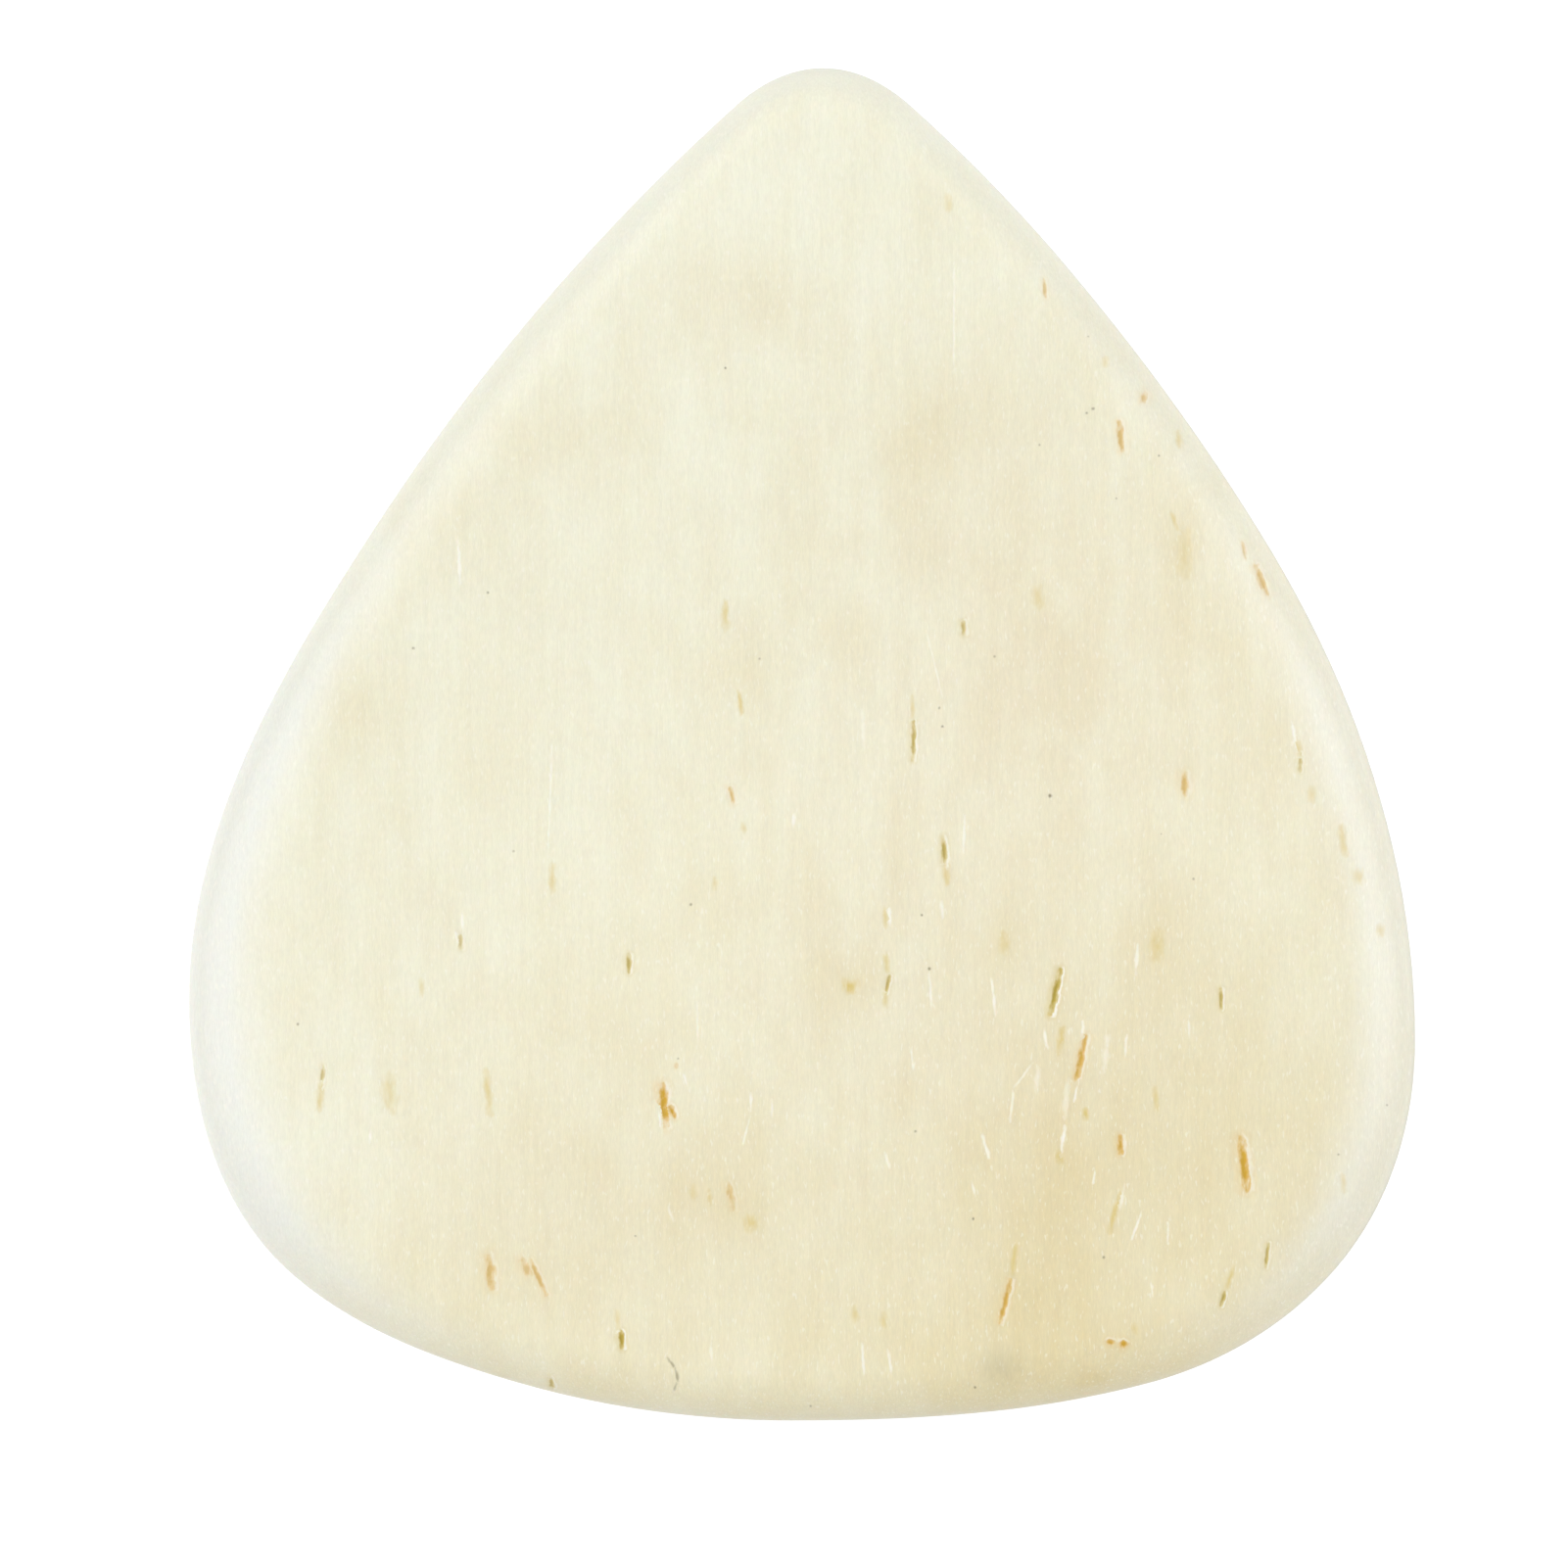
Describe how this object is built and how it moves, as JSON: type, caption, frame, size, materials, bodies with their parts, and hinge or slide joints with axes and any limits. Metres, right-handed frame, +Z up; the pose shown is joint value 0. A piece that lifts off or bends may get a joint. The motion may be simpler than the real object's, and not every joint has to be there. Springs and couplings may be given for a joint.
{
  "type": "bone folder",
  "caption": "Triangular bone folder: a flat slab of polished bone with a blunt point, round lower corners, a bowed base and rounded-over edges, for creasing and burnishing paper.",
  "frame": {"origin": "under the middle of the tool's box, on the flat back face that it lies on", "axes": "+Z up out of the front face, through the thickness; +Y from the bowed base towards the blunt point, along the bone's grain; +X to the right across the width, looking down on the front face"},
  "size_m": [0.0576, 0.0636, 0.004],
  "materials": {
    "bone": "satin"
  },
  "bodies": {
    "root": {"bone_blade": "bone"}
  },
  "joints": []
}
